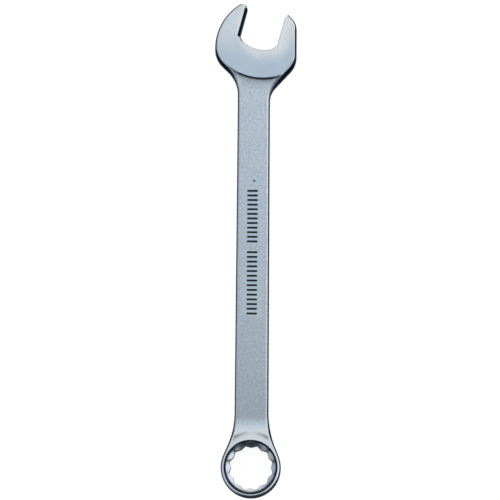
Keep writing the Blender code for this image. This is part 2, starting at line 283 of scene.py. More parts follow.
def rounded_path(corners):
    """(point, unit normal to the right) along a path whose corners (x, y, radius) are arcs."""
    first = Vector(corners[0][:2])
    heading = (Vector(corners[1][:2]) - first).normalized()
    path = [(first, right_of(heading))]
    for before, corner, after in zip(corners, corners[1:], corners[2:]):
        middle = Vector(corner[:2])
        back = (Vector(before[:2]) - middle).normalized()
        ahead = (Vector(after[:2]) - middle).normalized()
        half_angle = back.angle(ahead) / 2
        centre = middle + (back + ahead).normalized() * corner[2] / math.sin(half_angle)
        start = middle + back * corner[2] / math.tan(half_angle) - centre
        turn = math.pi - 2 * half_angle
        if back.x * ahead.y - back.y * ahead.x > 0:
            turn = -turn
        steps = max(1, math.ceil(abs(turn) / ARC_STEP))
        for step in range(steps + 1):
            arm = Matrix.Rotation(turn * step / steps, 2) @ start
            path.append((centre + arm, arm.normalized() * math.copysign(1.0, turn)))
    last = Vector(corners[-1][:2])
    heading = (last - path[-1][0]).normalized()
    path.append((last, right_of(heading)))
    return path


def at_share(path, share):
    """The point and normal at a share of the path's length."""
    lengths = [0.0]
    for (start, _), (end, _) in zip(path, path[1:]):
        lengths.append(lengths[-1] + (end - start).length)
    target = lengths[-1] * share
    leg = 0
    while leg < len(path) - 2 and lengths[leg + 1] < target:
        leg += 1
    part = (target - lengths[leg]) / (lengths[leg + 1] - lengths[leg])
    point = path[leg][0].lerp(path[leg + 1][0], part)
    return point, path[leg][1].lerp(path[leg + 1][1], part).normalized()


def half_profile(half_thickness, edge):
    """(inset, height) from the face edge down to the middle of the wall."""
    edge_inset, radius, turn = edge
    wall_inset = edge_inset - radius * math.sin(turn)
    wall_top = half_thickness - radius * (1 - math.cos(turn))
    power = math.tan(math.pi / 2 - turn) * wall_top / wall_inset
    points = []
    for step in range(EDGE_STEPS + 1):
        angle = turn * step / EDGE_STEPS
        inset = edge_inset - radius * math.sin(angle)
        points.append((inset, half_thickness - radius * (1 - math.cos(angle))))
    for step in range(1, WALL_STEPS + 1):
        share = 1 - step / WALL_STEPS
        points.append((wall_inset * share ** power, wall_top * share))
    return points


def whole_profile(upper, lower):
    """One wall from the front face edge to the back face edge."""
    return upper + [(inset, -height) for inset, height in reversed(lower[:-1])]


def mixed(start, end, share):
    return [(mix(a[0], b[0], share), mix(a[1], b[1], share)) for a, b in zip(start, end)]


class Skin:
    """A closed mesh under construction, in millimetres, with three values at each vertex.

    The first is 1 on worn spots and edges, which also get a slight painted highlight; satin is 1
    on the brushed shank; the last is 1 where shade is painted, in creases, notches, ticks and
    below the face step.
    """

    def __init__(self, origin):
        self.origin = origin
        self.shape = bmesh.new()
        self.wear_and_sheen = self.shape.verts.layers.float.new("wear_and_sheen")
        self.satin = self.shape.verts.layers.float.new("satin")
        self.painted_shade = self.shape.verts.layers.float.new("painted_shade")

    def vert(self, x, y, z, wear_and_sheen=0.0, satin=0.0):
        made = self.shape.verts.new(self.origin + Vector((x, y, z)) * MM)
        made[self.wear_and_sheen] = wear_and_sheen
        made[self.satin] = satin
        return made

    def column(self, point, normal, profile, satin=0.0, bend=None):
        """Vertices down one wall; the rounded face edges are the worn ones and get a slight
        painted highlight.
        """
        made = []
        for index, (inset, height) in enumerate(profile):
            flat = point + normal * inset
            place = bend(flat.x, flat.y, height) if bend else (flat.x, flat.y, height)
            from_edge = min(index, len(profile) - 1 - index)
            wear_and_sheen = max(0.0, math.sin(math.pi * min(1.0, from_edge / (EDGE_STEPS + 1))))
            made.append(self.vert(*place, wear_and_sheen, satin))
        return made

    def strip(self, one, two):
        """Quads between two rows of vertices."""
        for a, b, c, d in zip(one, one[1:], two[1:], two):
            corners = []
            for corner in (a, b, c, d):
                if corner not in corners:
                    corners.append(corner)
            self.shape.faces.new(corners)

    def finish(self, name):
        bmesh.ops.recalc_face_normals(self.shape, faces=self.shape.faces[:])
        mesh = bpy.data.meshes.new(name)
        self.shape.to_mesh(mesh)
        self.shape.free()
        shade(mesh)
        thing = bpy.data.objects.new(name, mesh)
        bpy.context.scene.collection.objects.link(thing)
        return thing


def shade(mesh):
    """Smooth, except for sharp edges and the large flat faces."""
    mesh.shade_smooth()
    mesh.set_sharp_from_angle(angle=SHARP_ANGLE)
    for face in mesh.polygons:
        if len(face.vertices) > LARGE_FACE_CORNERS:
            face.use_smooth = False


def jaw_point(across, toward_mouth):
    side = Vector((math.cos(JAW_ANGLE), -math.sin(JAW_ANGLE)))
    mouth = Vector((math.sin(JAW_ANGLE), math.cos(JAW_ANGLE)))
    return JAW_CENTRE + side * across + mouth * toward_mouth


def head_outline():
    """The widest line of head and neck, from the left of the seam round to its right."""
    start = (-SHANK_HALF_WIDTH_AT_OPEN, OPEN_SEAM_Y, 0.0)
    end = (SHANK_HALF_WIDTH_AT_OPEN, OPEN_SEAM_Y, 0.0)
    return rounded_path([start, *HEAD_CORNERS, end])


def cut_at(path, index, y):
    """The point and normal where the leg after index crosses the height y."""
    (start, start_normal), (end, end_normal) = path[index], path[index + 1]
    share = (y - start.y) / (end.y - start.y)
    return start.lerp(end, share), start_normal.lerp(end_normal, share).normalized()


def split_outline(path):
    """Left neck, head and right neck, cut where the raised face ends."""
    first = next(i for i, (point, _) in enumerate(path) if point.y > FACE_ARC_LEFT_Y)
    last = max(i for i, (point, _) in enumerate(path) if point.y > FACE_ARC_RIGHT_Y)
    left_end = cut_at(path, first - 1, FACE_ARC_LEFT_Y)
    right_end = cut_at(path, last, FACE_ARC_RIGHT_Y)
    left = path[:first] + [left_end]
    right = [right_end] + path[last + 1:]
    return left[::-1], [left_end] + path[first:last + 1] + [right_end], right


def arc_between(start, end, radius):
    """The centre of the arc that bulges to the right of that direction, and its sweep."""
    chord = end - start
    aside = Vector((-chord.y, chord.x)).normalized()
    half_sweep = math.asin(chord.length / 2 / radius)
    return (start + end) / 2 + aside * radius * math.cos(half_sweep), 2 * half_sweep


def head_wall(normal):
    """The wall is steep at the sides and slopes more where the head narrows to the neck."""
    side = half_profile(HEAD_HALF_THICKNESS, HEAD_SIDE_EDGE)
    flare = half_profile(HEAD_HALF_THICKNESS, HEAD_FLARE_EDGE)
    toward_neck = smooth_step((normal.y - WALL_CHANGE_FROM) / WALL_CHANGE_SPAN)
    half = mixed(side, flare, toward_neck)
    return whole_profile(half, half)


def fall(value, power):
    return min(max(1.0 - value, 0.0), 1.0) ** power


def step_fall(distance):
    """The face ends in a short steep step with a long hollow run out below it."""
    steep = fall(distance / STEP_RUN, STEP_POWER)
    return mix(steep, fall(distance / STEP_FADE_RUN, STEP_FADE_POWER), STEP_FADE_SHARE)


def make_open_end(origin):
    """Head, jaws and scooped neck; the mouth is cut by a rounded cutter."""
    left, head, right = split_outline(head_outline())
    shank_half = half_profile(SHANK_HALF_THICKNESS, SHANK_EDGE)
    shank_profile = whole_profile(shank_half, shank_half)
    skin = Skin(origin)
    head_columns = [skin.column(p, n, head_wall(n)) for p, n in head]
    left_columns = [head_columns[0]]
    right_columns = [head_columns[-1]]
    shares = [(k / NECK_STATIONS) ** NECK_SPACING for k in range(NECK_STATIONS + 1)]
    rim_ends = [[p + n * head_wall(n)[0][0] for p, n in (head[0], head[-1])]]
    for share in shares[1:]:
        ends = []
        for path, columns in ((left, left_columns), (right, right_columns)):
            point, normal = at_share(path, share)
            profile = mixed(head_wall(normal), shank_profile, smooth_step(share / NECK_SETTLED))
            satin = smooth_step(share * NECK_SATIN_RATE)
            columns.append(skin.column(point, normal, profile, satin))
            ends.append(point + normal * profile[0][0])
        rim_ends.append(ends)
    walls = left_columns[::-1] + head_columns[1:-1] + right_columns
    for one, two in zip(walls, walls[1:]):
        skin.strip(one, two)

    centre, sweep = arc_between(*rim_ends[0], FACE_ARC_RADIUS)
    across = [0.5 - 0.5 * math.cos(math.pi * i / PANEL_COLUMNS) for i in range(PANEL_COLUMNS + 1)]
    arc = [centre + Matrix.Rotation(sweep * t, 2) @ (rim_ends[0][0] - centre) for t in across]
    step_height = HEAD_HALF_THICKNESS - SHANK_HALF_THICKNESS
    seam_rows = []
    for side in (1, -1):
        rim_row = 0 if side > 0 else -1
        face_z = side * HEAD_HALF_THICKNESS
        previous = [skin.vert(p.x, p.y, face_z, CREST_WEAR) for p in arc[1:-1]]
        previous = [head_columns[0][rim_row]] + previous + [head_columns[-1][rim_row]]
        rim = [verts[rim_row] for verts in head_columns]
        skin.shape.faces.new(rim + previous[-2:0:-1])
        for station in range(1, NECK_STATIONS + 1):
            share = shares[station]
            start, end = rim_ends[station]
            rim_rise = step_height * (1 - smooth_step(share / NECK_SETTLED))
            row = []
            for index in range(1, PANEL_COLUMNS):
                t = across[index]
                bow = arc[index] - arc[0].lerp(arc[-1], t)
                place = start.lerp(end, t) + bow * (1 - share) ** 2
                from_arc = (place - centre).length - FACE_ARC_RADIUS
                from_side = min(t, 1 - t) * (end - start).length
                near_arc = step_fall(from_arc)
                near_side = fall(from_side / LIP_RUN, LIP_POWER) * rim_rise / step_height
                rise = step_height * (1 - (1 - near_arc) * (1 - near_side))
                height = side * (SHANK_HALF_THICKNESS + rise)
                # The face edge by the step is worn and given a slight painted highlight; painted
                # shade falls off below the step
                made = skin.vert(place.x, place.y, height, near_arc, 1.0 - near_arc)
                made[skin.painted_shade] = STEP_SHADE * fall(from_arc / STEP_SHADE_RUN, STEP_SHADE_POWER)
                row.append(made)
            row = [left_columns[station][rim_row]] + row + [right_columns[station][rim_row]]
            skin.strip(previous, row)
            previous = row
        seam_rows.append(previous[1:-1])
    cap = left_columns[-1] + seam_rows[1] + right_columns[-1][::-1] + seam_rows[0][::-1]
    skin.shape.faces.new(cap)
    head_skin = skin.finish("open_end_forging")
    cut_with(head_skin, mouth_cutter(origin))
    return head_skin


def mouth_rim(share):
    """(offset, height) on the small rounded rim, and on the wide bevel of the left flat."""
    turn = MOUTH_EDGE_TURN * min(share, 1.0)
    over = max(0.0, share - 1.0)
    small = (
        MOUTH_EDGE_RADIUS * (1 - math.cos(turn)) + over * math.tan(MOUTH_EDGE_TURN),
        HEAD_HALF_THICKNESS - MOUTH_EDGE_RADIUS * (math.sin(MOUTH_EDGE_TURN) - math.sin(turn))
        + over,
    )
    wide = (LEFT_BEVEL_WIDTH * share, HEAD_HALF_THICKNESS - LEFT_BEVEL_DEPTH * (1 - share))
    return small, wide


def mouth_cutter(origin):
    """A blunt left tip, two parallel flats, reliefs and a throat, with rounded rims."""
    corners = [
        (-LEFT_TIP_OUTER.x, CUTTER_REACH, 0.0),
        (-LEFT_TIP_OUTER.x, LEFT_TIP_OUTER.y, LEFT_TIP_OUTER_RADIUS),
        (-LEFT_TIP_INNER.x, LEFT_TIP_INNER.y, LEFT_TIP_RADIUS),
        (-HALF_GAP, LEFT_FLAT_TOP, LEFT_TIP_RADIUS),
        (-HALF_GAP, -JAW_FLAT_DEPTH, LEFT_RELIEF_RADIUS),
        (-THROAT_CORNER.x, -THROAT_CORNER.y, LEFT_RELIEF_RADIUS),
        (0.0, -THROAT_DEPTH, THROAT_RADIUS),
        (THROAT_CORNER.x, -THROAT_CORNER.y, RIGHT_THROAT_RADIUS),
        (HALF_GAP, -JAW_FLAT_DEPTH, RIGHT_RELIEF_RADIUS),
        (HALF_GAP, RIGHT_FLAT_TOP, RIGHT_TIP_RADIUS),
        (HALF_GAP + RIGHT_TIP_CHAMFER, RIGHT_FLAT_TOP + RIGHT_TIP_CHAMFER, RIGHT_TIP_RADIUS),
        (HALF_GAP + RIGHT_TIP_CHAMFER, CUTTER_REACH, 0.0),
    ]
    levels = [step / RIM_STEPS for step in range(RIM_STEPS + 1)] + [1.0 + RIM_OVERSHOOT]
    levels = [(share, -1) for share in reversed(levels)] + [(share, 1) for share in levels]
    skin = Skin(origin)
    rows = []
    for share, side in levels:
        row = []
        for point, normal in rounded_path(corners):
            facing_left = max(0.0, -normal.x) ** LEFT_BEVEL_FADE
            small, wide = mouth_rim(share)
            offset = mix(small[0], wide[0], facing_left)
            height = mix(small[1], wide[1], facing_left)
            place = point + normal * offset
            place = jaw_point(place.x, place.y)
            row.append(skin.vert(place.x, place.y, side * height, MOUTH_WEAR))
        rows.append(row)
    for one, two in zip(rows, rows[1:]):
        skin.strip(one + one[:1], two + two[:1])
    skin.shape.faces.new(rows[0])
    skin.shape.faces.new(rows[-1])
    return skin.finish("mouth")


def cut_with(thing, cutter):
    """Cuts once and removes the cutter, so that only the finished piece is left."""
    modifier = thing.modifiers.new(cutter.name, "BOOLEAN")
    modifier.operation = "DIFFERENCE"
    modifier.solver = "EXACT"
    modifier.object = cutter
    graph = bpy.context.evaluated_depsgraph_get()
    mesh = bpy.data.meshes.new_from_object(thing.evaluated_get(graph), depsgraph=graph)
    thing.modifiers.clear()
    thing.data = mesh
    mesh.name = thing.name
    shade(mesh)
    bpy.data.objects.remove(cutter, do_unlink=True)


def tick_marks(origin):
    """Cutters for two rows of plain stamped ticks and one punch dot on the front face."""
    skin = Skin(origin)
    places = [MARK_DOT]
    for start, count, pitch in MARK_ROWS:
        places += [(MARK_MIDDLE_X, start - pitch * k, MARK_LENGTH) for k in range(count)]
    for x, y, length in places:
        sections = []
        for step in range(2 * MARK_END_STEPS):
            end = 1 if step >= MARK_END_STEPS else -1
            turn = step - (MARK_END_STEPS if end > 0 else 0)
            angle = math.pi / 2 * (turn + 0.5) / MARK_END_STEPS
            across = math.cos(angle) if end < 0 else math.sin(angle)
            radius = MARK_RADIUS * (math.sin(angle) if end < 0 else math.cos(angle))
            place = x + end * (length / 2 - MARK_RADIUS + MARK_RADIUS * across)
            section = []
            for side in range(MARK_SIDES):
                round_angle = math.tau * (side + 0.5) / MARK_SIDES
                section.append(skin.vert(
                    place,
                    y + radius * math.cos(round_angle),
                    MARK_CENTRE_HEIGHT + radius * math.sin(round_angle),
                ))
            sections.append(section)
        for one, two in zip(sections, sections[1:]):
            skin.strip(one + one[:1], two + two[:1])
        skin.shape.faces.new(sections[0])
        skin.shape.faces.new(sections[-1])
    return skin.finish("ticks")


def darken_ticks(thing, origin):
    """Painted shade in the stamped ticks, darker the deeper they go."""
    mesh = thing.data
    painted_shade = mesh.attributes["painted_shade"]
    for vertex in mesh.vertices:
        place = (vertex.co - origin) / MM
        in_marks = abs(place.x - MARK_MIDDLE_X) < MARK_LENGTH and place.z > 0.0
        depth = SHANK_HALF_THICKNESS - place.z
        painted_shade.data[vertex.index].value = smooth_step(depth / MARK_SHADE_DEPTH) if in_marks else 0.0


def make_shank(origin):
    half = half_profile(SHANK_HALF_THICKNESS, SHANK_EDGE)
    profile = whole_profile(half, half)
    skin = Skin(origin)
    rings = []
    for station in range(SHANK_STATIONS + 1):
        share = station / SHANK_STATIONS
        y = mix(BOX_SEAM_Y, OPEN_SEAM_Y, share)
        width = mix(SHANK_HALF_WIDTH_AT_BOX, SHANK_HALF_WIDTH_AT_OPEN, share)
        left = skin.column(Vector((-width, y)), Vector((1, 0)), profile, 1.0)
        right = skin.column(Vector((width, y)), Vector((-1, 0)), profile, 1.0)
        rings.append(left + right[::-1])
    for one, two in zip(rings, rings[1:]):
        skin.strip(one + one[:1], two + two[:1])
    skin.shape.faces.new(rings[0])
    skin.shape.faces.new(rings[-1])
    shank = skin.finish("shank_forging")
    cut_with(shank, tick_marks(origin))
    darken_ticks(shank, origin)
    return shank


class Bend:
    """Bends a flat ring and flare so that the ring is tilted and raised behind the bend."""

    def __init__(self):
        self.span = BEND_LENGTH / BEND_STEPS
        self.places = [(0.0, 0.0, RING_TILT)]
        y = z = 0.0
        for step in range(1, BEND_STEPS + 1):
            middle = self.tilt((step - 0.5) / BEND_STEPS)
            y += math.cos(middle) * self.span
            z -= math.sin(middle) * self.span
            self.places.append((y, z, self.tilt(step / BEND_STEPS)))
        self.start = (RING_RISE + z) / math.sin(RING_TILT)
        self.base_y = self.start * math.cos(RING_TILT)
        self.base_z = RING_RISE - self.start * math.sin(RING_TILT)
        self.seam = self.start + BEND_LENGTH + BOX_SEAM_Y - self.base_y - y

    def tilt(self, share):
        return RING_TILT * (1 - soft_step(share))

    def __call__(self, u, v, w):
        """The bent place of a flat one; no place sinks below the floor."""
        along = v - self.start
        if along <= 0:
            y, z, tilt = self.base_y, self.base_z, RING_TILT
            y += along * math.cos(tilt)
            z -= along * math.sin(tilt)
        elif along >= BEND_LENGTH:
            y, z, tilt = self.places[-1]
            y += self.base_y + along - BEND_LENGTH
            z += self.base_z
        else:
            index = min(int(along / self.span), len(self.places) - 2)
            share = along / self.span - index
            low, high = self.places[index], self.places[index + 1]
            y, z, tilt = (mix(a, b, share) for a, b in zip(low, high))
            y += self.base_y
            z += self.base_z
        lowest = CLEAR_OF_FLOOR - HEAD_HALF_THICKNESS
        return u, y + w * math.sin(tilt), max(z + w * math.cos(tilt), lowest)


def top_height(u, v, ramp_height):
    """Height of the face above the flat middle plane, and how near the crease it is."""
    beyond = max(0.0, math.hypot(u, v) - CREST_RADIUS)
    crest = RING_HALF_THICKNESS - beyond * beyond / (2 * CREST_CURVE)
    climb = soft_step((RAMP_START - v) / (RAMP_START - RAMP_END))
    ramp = mix(SHANK_HALF_THICKNESS, ramp_height, climb)
    near = max(0.0, CREASE_BLEND - abs(crest - ramp))
    crease = max(0.0, 1.0 - abs(crest - ramp) / CREASE_REACH) ** 2
    return max(crest, ramp) + near * near / (4 * CREASE_BLEND), crease


def star_radius(angle):
    """Distance from the axis to the bore's wall: two hexagons turned by half a flat."""
    pitch = math.tau / BORE_POINTS
    from_flat = angle % pitch
    from_flat = min(from_flat, pitch - from_flat)
    return HALF_GAP / math.cos(pitch / 2 + from_flat)


def lead_in_levels(star):
    """(radius, height, wear) from the ring's crest down the hollow lead-in to the star."""
    levels = [(LEAD_IN_RADIUS, RING_HALF_THICKNESS, CREST_WEAR)]
    for radius, slope in [*LEAD_IN_CURVE, (star, LEAD_IN_SLOPE)]:
        last_radius, last_height, _ = levels[-1]
        drop = (last_radius - radius) * math.tan(math.radians(slope))
        levels.append((radius, last_height - drop, 0.0))
    radius, height, _ = levels[-1]
    levels[-1] = (radius, height, STAR_WEAR)
    return levels


def flare_outline(bend, sign):
    """From the ring's touch point to the seam, with normals that point into the metal."""
    touch = Vector((math.cos(FLARE_ANGLE), math.sin(FLARE_ANGLE))) * RING_RADIUS
    width = SHANK_HALF_WIDTH_AT_BOX
    meet = touch.y + (touch.x - width) / math.tan(FLARE_ANGLE)
    path = rounded_path([
        (width, bend.seam, 0.0),
        (width, meet, FLARE_BLEND_RADIUS),
        (*touch, 0.0),
    ])[::-1]
    return [(Vector((p.x * sign, p.y)), Vector((n.x * sign, n.y))) for p, n in path]


def satin_at(v):
    """The brushed finish fades out on the ramp up to the ring."""
    return smooth_step((v - SATIN_END) / (SATIN_START - SATIN_END))


def make_box_end(origin):
    bend = Bend()
    skin = Skin(origin)
    ring_half = half_profile(RING_HALF_THICKNESS, RING_EDGE)
    ring_profile = whole_profile(ring_half, ring_half)
    shank_half = half_profile(SHANK_HALF_THICKNESS, SHANK_EDGE)

    def bent(u, v, w, wear_and_sheen=0.0):
        return skin.vert(*bend(u, v, w), wear_and_sheen, satin_at(v))

    pitch = math.pi / BORE_POINTS / STAR_STEPS
    count = round(math.tau / pitch)
    angles = [index * pitch for index in range(count)]
    touch_index = round(FLARE_ANGLE / pitch)
    other_index = count // 2 - touch_index

    free_side = [*range(other_index, count), *range(touch_index + 1)]
    ring_columns = {}
    for index in free_side:
        outward = Vector((math.cos(angles[index]), math.sin(angles[index])))
        rim = outward * RING_RADIUS
        ring_columns[index] = skin.column(rim, -outward, ring_profile, bend=bend)

    bore_columns = []
    for angle in angles:
        outward = Vector((math.cos(angle), math.sin(angle)))
        star = star_radius(angle)
        levels = lead_in_levels(star)
        corner = levels[-1][1]
        levels += [(star, height, 0.0) for height in (corner / 2, 0.0)]
        levels += [(radius, -height, wear_and_sheen) for radius, height, wear_and_sheen in levels[-2::-1]]
        bore_columns.append([bent(outward.x * r, outward.y * r, h, wear_and_sheen) for r, h, wear_and_sheen in levels])
        # Painted shade in the bore's notches, stronger on the side toward the shank
        in_notch = smooth_step((star - STAR_INNER) / STAR_DEPTH) ** NOTCH_SHADE_POWER
        toward_shank = smooth_step((outward.y - NOTCH_FADE_FROM) / NOTCH_FADE_SPAN)
        notch_shade = NOTCH_SHADE * in_notch * mix(NOTCH_FAR_SHARE, 1.0, toward_shank)
        for made, (radius, _, _) in zip(bore_columns[-1], levels):
            if radius < NOTCH_SHADE_RADIUS:
                made[skin.painted_shade] = notch_shade
    for index in range(count):
        skin.strip(bore_columns[index], bore_columns[(index + 1) % count])

    for one, two in zip(free_side, free_side[1:]):
        skin.strip(ring_columns[one], ring_columns[two])
        for row in (0, -1):
            skin.strip(
                [ring_columns[one][row], bore_columns[one][row]],
                [ring_columns[two][row], bore_columns[two][row]],
            )

    shares = [(k / FLARE_STATIONS) ** FLARE_SPACING for k in range(FLARE_STATIONS + 1)]
    flares = {}
    ends = {}
    for sign, index in ((1, touch_index), (-1, other_index)):
        path = flare_outline(bend, sign)
        columns = [ring_columns[index]]
        places = [path[0][0] + path[0][1] * RING_EDGE[0]]
        for share in shares[1:]:
            point, normal = at_share(path, share)
            wall = mixed(ring_half, shank_half, smooth_step(share / FLARE_SETTLED))
            edge_inset, edge_height = wall[0]
            edge_place = point + normal * edge_inset
            front, _ = top_height(*edge_place, RAMP_TOP)
            back, _ = top_height(*edge_place, RAMP_BOTTOM)
            upper = [(inset, height * front / edge_height) for inset, height in wall]
            lower = [(inset, height * back / edge_height) for inset, height in wall]
            profile = whole_profile(upper, lower)
            columns.append(skin.column(point, normal, profile, satin_at(point.y), bend))
            places.append(edge_place)
        flares[sign] = columns
        ends[sign] = places
        for one, two in zip(columns, columns[1:]):
            skin.strip(one, two)

    sector = range(touch_index, other_index + 1)
    seam_rows = []
    for row_index, ramp_height, side in ((0, RAMP_TOP, 1), (-1, RAMP_BOTTOM, -1)):
        previous = [bore_columns[index][row_index] for index in sector]
        for station in range(FLARE_STATIONS + 1):
            edge_place = ends[1][station]
            reach = edge_place.length
            edge_angle = math.atan2(edge_place.y, edge_place.x)
            beyond_ring = edge_place.y - ROUND_UP_TO_V
            straight = smooth_step(beyond_ring / (bend.seam - ROUND_UP_TO_V))
            row = [flares[1][station][row_index]]
            for step in range(1, len(sector) - 1):
                t = step / (len(sector) - 1)
                angle = mix(edge_angle, math.pi - edge_angle, t)
                round_place = Vector((math.cos(angle), math.sin(angle))) * reach
                flat_place = Vector((edge_place.x * (1 - 2 * t), edge_place.y))
                place = round_place.lerp(flat_place, straight)
                height, crease = top_height(*place, ramp_height)
                made = bent(place.x, place.y, side * height)
                # Painted shade along the crease, stronger away from the middle
                aside = abs(place.x) / place.length
                made[skin.painted_shade] = min(1.0, crease * CREASE_SHADE * aside)
                row.append(made)
            row.append(flares[-1][station][row_index])
            skin.strip(previous, row)
            previous = row
        seam_rows.append(previous)
    right, left = flares[1][-1], flares[-1][-1]
    skin.shape.faces.new(right + seam_rows[1][1:-1] + left[::-1] + seam_rows[0][-2:0:-1])
    return skin.finish("box_end_forging")


class Nodes:
    """Short calls for building a node tree."""

    def __init__(self, tree):
        self.nodes = tree.nodes
        self.links = tree.links

    def put(self, value, socket):
        if isinstance(value, bpy.types.NodeSocket):
            self.links.new(value, socket)
        elif isinstance(value, tuple):
            socket.default_value = (*value, 1.0)[:len(socket.default_value)]
        else:
            socket.default_value = value

    def math(self, operation, *values):
        node = self.nodes.new("ShaderNodeMath")
        node.operation = operation
        for value, socket in zip(values, node.inputs):
            self.put(value, socket)
        return node.outputs[0]

    def smooth(self, value, low, high):
        node = self.nodes.new("ShaderNodeMapRange")
        node.interpolation_type = "SMOOTHSTEP"
        for name, item in (("Value", value), ("From Min", low), ("From Max", high)):
            self.put(item, node.inputs[name])
        return node.outputs["Result"]

    def value(self, name):
        """A surface value that the mesh carries at its vertices."""
        node = self.nodes.new("ShaderNodeAttribute")
        node.attribute_name = name
        return node.outputs["Fac"]

    def noise(self, place, size, detail):
        node = self.nodes.new("ShaderNodeTexNoise")
        self.put(place, node.inputs["Vector"])
        node.inputs["Scale"].default_value = 1.0 / (size * MM)
        node.inputs["Detail"].default_value = detail
        return node.outputs["Fac"]

    def stretched(self, place, scale):
        node = self.nodes.new("ShaderNodeMapping")
        self.put(place, node.inputs["Vector"])
        node.inputs["Scale"].default_value = scale
        return node.outputs["Vector"]

    def distance(self, place, other):
        node = self.nodes.new("ShaderNodeVectorMath")
        node.operation = "DISTANCE"
        self.put(place, node.inputs[0])
        node.inputs[1].default_value = other
        return node.outputs["Value"]

    def y_of(self, place):
        node = self.nodes.new("ShaderNodeSeparateXYZ")
        self.put(place, node.inputs[0])
        return node.outputs["Y"]

    def times(self, colour, other):
        node = self.nodes.new("ShaderNodeVectorMath")
        node.operation = "MULTIPLY"
        self.put(colour, node.inputs[0])
        self.put(other, node.inputs[1])
        return node.outputs[0]

    def scaled(self, colour, level):
        node = self.nodes.new("ShaderNodeVectorMath")
        node.operation = "SCALE"
        self.put(colour, node.inputs[0])
        self.put(level, node.inputs["Scale"])
        return node.outputs[0]

    def mix(self, share, start, end):
        node = self.nodes.new("ShaderNodeMix")
        node.data_type = "RGBA"
        self.put(share, node.inputs["Factor"])
        self.put(start, node.inputs[6])
        self.put(end, node.inputs[7])
        return node.outputs[2]

    def ramp(self, value, stops):
        """A smooth colour ramp through the stops (place, colour)."""
        low, high = stops[0][0], stops[-1][0]
        node = self.nodes.new("ShaderNodeValToRGB")
        node.color_ramp.interpolation = "B_SPLINE"
        elements = node.color_ramp.elements
        elements.remove(elements[-1])
        for index, (place, colour) in enumerate(stops):
            share = (place - low) / (high - low)
            element = elements[0] if index == 0 else elements.new(share)
            element.position = share
            element.color = (*colour, 1.0)
        span = self.math("SUBTRACT", value, low)
        self.put(self.math("DIVIDE", span, high - low), node.inputs["Fac"])
        return node.outputs["Color"]


def steel(name, highlight_around=None):
    """Chrome plate over forged steel: satin on the shank, polished on head and ring.

    On the head, a painted highlight makes the face lighter and whiter around the mouth and up the
    head, and a little darker away from them.
    """
    material = bpy.data.materials.new(name)
    material.use_nodes = True
    tree = Nodes(material.node_tree)
    shader = tree.nodes["Principled BSDF"]
    place = tree.nodes.new("ShaderNodeTexCoord").outputs["Object"]
    satin = tree.value("satin")
    wear_and_sheen = tree.value("wear_and_sheen")
    painted_shade = tree.value("painted_shade")

    cloud = tree.noise(place, CLOUD_SIZE, CLOUD_DETAIL)
    mottle = tree.noise(place, MOTTLE_SIZE, MOTTLE_DETAIL)
    grit = tree.noise(place, GRIT_SIZE, GRIT_DETAIL)
    along_shank = tree.stretched(place, (1.0, SCRATCH_STRETCH, 1.0))
    scratch = tree.noise(along_shank, GRIT_SIZE, SCRATCH_DETAIL)

    tint = tree.mix(tree.smooth(cloud, *CLOUD_RANGE), COOL_CHROME, WARM_CHROME)
    # Painted highlight: the head's face is lighter and whiter near the mouth and toward its top,
    # darker elsewhere
    if highlight_around is not None:
        far, near = HIGHLIGHT_RADII[1] * MM, HIGHLIGHT_RADII[0] * MM
        near_mouth = tree.smooth(tree.distance(place, highlight_around), far, near)
        from_y, to_y = (highlight_around.y + (y - HIGHLIGHT_CENTRE[1]) * MM for y in HIGHLIGHT_FROM_Y)
        up_the_head = tree.smooth(tree.y_of(place), from_y, to_y)
        up_the_head = tree.math("MULTIPLY", up_the_head, HIGHLIGHT_UPPER_SHARE)
        face_highlight = tree.math("MAXIMUM", near_mouth, up_the_head)
        face_highlight = tree.mix(face_highlight, AWAY_FROM_HIGHLIGHT_TINT, HIGHLIGHT_TINT)
        face_highlight = tree.mix(satin, face_highlight, (1.0, 1.0, 1.0))
        tint = tree.times(tint, face_highlight)
    cloud_swing = tree.math("SUBTRACT", cloud, 0.5)
    mottle_swing = tree.math("SUBTRACT", mottle, 0.5)
    contrast = tree.math("MULTIPLY_ADD", satin, MOTTLE_CONTRAST, MOTTLE_CONTRAST_POLISHED)
    level = tree.math("MULTIPLY_ADD", mottle_swing, contrast, 1.0)
    # Worn spots and edges are brighter: partly worn metal, partly a painted highlight
    level = tree.math("MULTIPLY_ADD", wear_and_sheen, WEAR_AND_SHEEN_BRIGHTENING, level)
    # Painted shade: darker in creases, notches, ticks and below the face step
    unshaded = tree.math("MULTIPLY_ADD", painted_shade, -PAINTED_SHADE_DARKENING, 1.0)
    level = tree.math("MULTIPLY", level, unshaded)
    tree.put(tree.scaled(tint, level), shader.inputs["Base Color"])

    satin_gain = SATIN_ROUGHNESS - POLISH_ROUGHNESS
    rough = tree.math("MULTIPLY_ADD", satin, satin_gain, POLISH_ROUGHNESS)
    for value, gain in (
        (cloud_swing, CLOUD_ROUGHNESS),
        (mottle_swing, MOTTLE_ROUGHNESS),
        (wear_and_sheen, WEAR_ROUGHNESS),
        (painted_shade, PAINTED_SHADE_ROUGHNESS),
    ):
        rough = tree.math("MULTIPLY_ADD", value, gain, rough)
    tree.put(rough, shader.inputs["Roughness"])
    shader.inputs["Metallic"].default_value = 1.0

    grain = tree.math("MULTIPLY", tree.math("ADD", grit, mottle), satin)
    grain = tree.math("MULTIPLY_ADD", scratch, SCRATCH_SHARE, grain)
    bump = tree.nodes.new("ShaderNodeBump")
    bump.inputs["Strength"].default_value = 1.0
    bump.inputs["Distance"].default_value = GRAIN_HEIGHT * MM
    tree.put(grain, bump.inputs["Height"])
    tree.put(bump.outputs["Normal"], shader.inputs["Normal"])
    return material


def dress(thing, material, node):
    thing.data.materials.clear()
    thing.data.materials.append(material)
    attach(thing, "root")
    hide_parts(node)


